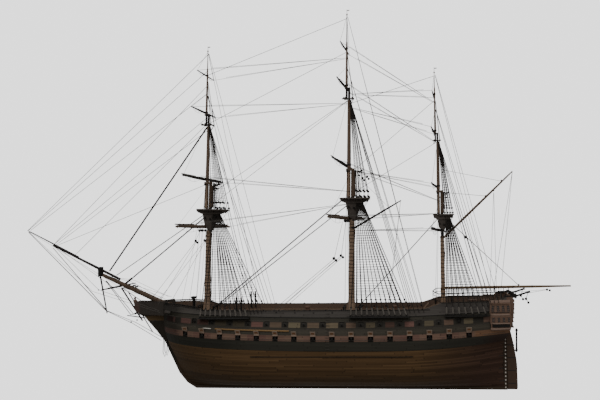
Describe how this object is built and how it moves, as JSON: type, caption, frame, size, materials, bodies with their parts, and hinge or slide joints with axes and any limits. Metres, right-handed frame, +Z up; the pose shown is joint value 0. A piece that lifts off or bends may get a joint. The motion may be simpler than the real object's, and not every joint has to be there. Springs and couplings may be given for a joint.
{
  "type": "three-masted ship of the line model",
  "caption": "Wooden display model of a three-masted ship of the line with masts, yards, bowsprit, gun-port tiers, head, quarter galleries and a hung rudder.",
  "frame": {"origin": "middle of the keel's flat underside, on the centre plane", "axes": "+X towards the stern, -X towards the bow, -Y to port, +Z up"},
  "size_m": [1.8156, 0.6222, 1.2292],
  "materials": {
    "varnished_planking": "dark varnished planking",
    "dark_paint": "dark brown-black paint",
    "carved_wood": "dark carved wood",
    "rope": "tarred rope",
    "spar_wood": "varnished spar",
    "black_paint": "black painted spar",
    "mast_wood": "varnished mast"
  },
  "bodies": {
    "root": {"bowsprit": "mast_wood", "bowsprit_cap": "black_paint", "cathead_port": "mast_wood", "cathead_starboard": "mast_wood", "channel_fore_port": "dark_paint", "channel_fore_starboard": "dark_paint", "channel_main_port": "dark_paint", "channel_main_starboard": "dark_paint", "channel_mizzen_port": "dark_paint", "channel_mizzen_starboard": "dark_paint", "dolphin_striker": "black_paint", "figurehead": "carved_wood", "flying_jibboom": "black_paint", "fore_crosstrees": "dark_paint", "fore_lower_mast": "mast_wood", "fore_stay": "rope", "fore_top": "dark_paint", "fore_topgallant_mast": "mast_wood", "fore_topmast": "mast_wood", "head_rail_port": "carved_wood", "head_rail_starboard": "carved_wood", "hull": "varnished_planking", "jibboom": "black_paint", "keel_and_stem": "varnished_planking", "main_crosstrees": "dark_paint", "main_lower_mast": "mast_wood", "main_stay": "rope", "main_top": "dark_paint", "main_topgallant_mast": "mast_wood", "main_topmast": "mast_wood", "mizzen_crosstrees": "dark_paint", "mizzen_lower_mast": "mast_wood", "mizzen_stay": "rope", "mizzen_top": "dark_paint", "mizzen_topgallant_mast": "mast_wood", "mizzen_topmast": "mast_wood", "quarter_gallery_port": "carved_wood", "quarter_gallery_starboard": "carved_wood", "spritsail_yard": "black_paint", "stern_davit_port": "dark_paint", "stern_davit_starboard": "dark_paint", "stern_gallery": "carved_wood"},
    "fore_lower_yard": {"fore_lower_yard": "black_paint"},
    "fore_topsail_yard": {"fore_topsail_yard": "black_paint"},
    "fore_topgallant_yard": {"fore_topgallant_yard": "black_paint"},
    "fore_royal_yard": {"fore_royal_yard": "black_paint"},
    "main_lower_yard": {"main_lower_yard": "black_paint"},
    "main_topsail_yard": {"main_topsail_yard": "black_paint"},
    "main_topgallant_yard": {"main_topgallant_yard": "black_paint"},
    "main_royal_yard": {"main_royal_yard": "black_paint"},
    "crossjack_yard": {"crossjack_yard": "black_paint"},
    "mizzen_topsail_yard": {"mizzen_topsail_yard": "black_paint"},
    "mizzen_topgallant_yard": {"mizzen_topgallant_yard": "black_paint"},
    "mizzen_royal_yard": {"mizzen_royal_yard": "black_paint"},
    "spanker_boom": {"spanker_boom": "spar_wood"},
    "spanker_gaff": {"spanker_gaff": "mast_wood"},
    "main_trysail_gaff": {"main_trysail_gaff": "black_paint"},
    "rudder": {"rudder": "varnished_planking"}
  },
  "joints": [
    {"name": "fore_lower_yard_swing", "type": "hinge", "parent": "root", "child": "fore_lower_yard", "pos_m": [-0.47996, 0, 0.53673], "axis": [0.0436, 0, 0.999], "range_deg": [-27, 33]},
    {"name": "fore_topsail_yard_swing", "type": "hinge", "parent": "root", "child": "fore_topsail_yard", "pos_m": [-0.48497, 0, 0.6971], "axis": [0.0436, 0, 0.999], "range_deg": [-26.5, 33.5]},
    {"name": "fore_topgallant_yard_swing", "type": "hinge", "parent": "root", "child": "fore_topgallant_yard", "pos_m": [-0.48311, 0, 0.92324], "axis": [0.0436, 0, 0.999], "range_deg": [-27, 33]},
    {"name": "fore_royal_yard_swing", "type": "hinge", "parent": "root", "child": "fore_royal_yard", "pos_m": [-0.47761, 0, 1.04912], "axis": [0.0436, 0, 0.999], "range_deg": [-27, 33]},
    {"name": "main_lower_yard_swing", "type": "hinge", "parent": "root", "child": "main_lower_yard", "pos_m": [0.00112, 0, 0.55285], "axis": [0.0314, 0, 0.9995], "range_deg": [-24, 36]},
    {"name": "main_topsail_yard_swing", "type": "hinge", "parent": "root", "child": "main_topsail_yard", "pos_m": [-0.0062, 0, 0.72717], "axis": [0.0314, 0, 0.9995], "range_deg": [-25, 35]},
    {"name": "main_topgallant_yard_swing", "type": "hinge", "parent": "root", "child": "main_topgallant_yard", "pos_m": [-0.00644, 0, 0.9903], "axis": [0.0314, 0, 0.9995], "range_deg": [-26, 34]},
    {"name": "main_royal_yard_swing", "type": "hinge", "parent": "root", "child": "main_royal_yard", "pos_m": [-0.00258, 0, 1.11324], "axis": [0.0314, 0, 0.9995], "range_deg": [-26, 34]},
    {"name": "crossjack_yard_swing", "type": "hinge", "parent": "root", "child": "crossjack_yard", "pos_m": [0.28811, 0, 0.50698], "axis": [0.0131, 0, 0.9999], "range_deg": [-22, 38]},
    {"name": "mizzen_topsail_yard_swing", "type": "hinge", "parent": "root", "child": "mizzen_topsail_yard", "pos_m": [0.28017, 0, 0.6491], "axis": [0.0131, 0, 0.9999], "range_deg": [-24, 36]},
    {"name": "mizzen_topgallant_yard_swing", "type": "hinge", "parent": "root", "child": "mizzen_topgallant_yard", "pos_m": [0.27581, 0, 0.82817], "axis": [0.0131, 0, 0.9999], "range_deg": [-25, 35]},
    {"name": "mizzen_royal_yard_swing", "type": "hinge", "parent": "root", "child": "mizzen_royal_yard", "pos_m": [0.27737, 0, 0.94716], "axis": [0.0131, 0, 0.9999], "range_deg": [-26, 34]},
    {"name": "spanker_boom_swing", "type": "hinge", "parent": "root", "child": "spanker_boom", "pos_m": [0.28568, 0, 0.3215], "axis": [0.0131, 0, 0.9999], "range_deg": [-25, 25]},
    {"name": "spanker_gaff_swing", "type": "hinge", "parent": "root", "child": "spanker_gaff", "pos_m": [0.28781, 0, 0.48398], "axis": [0.0131, 0, 0.9999], "range_deg": [-25, 25]},
    {"name": "main_trysail_gaff_swing", "type": "hinge", "parent": "root", "child": "main_trysail_gaff", "pos_m": [0.00015, 0, 0.52187], "axis": [0.0314, 0, 0.9995], "range_deg": [-25, 25]},
    {"name": "rudder_turn", "type": "hinge", "parent": "root", "child": "rudder", "pos_m": [0.4776, 0, 0.001], "axis": [0, 0, 1], "range_deg": [-35, 35]}
  ]
}
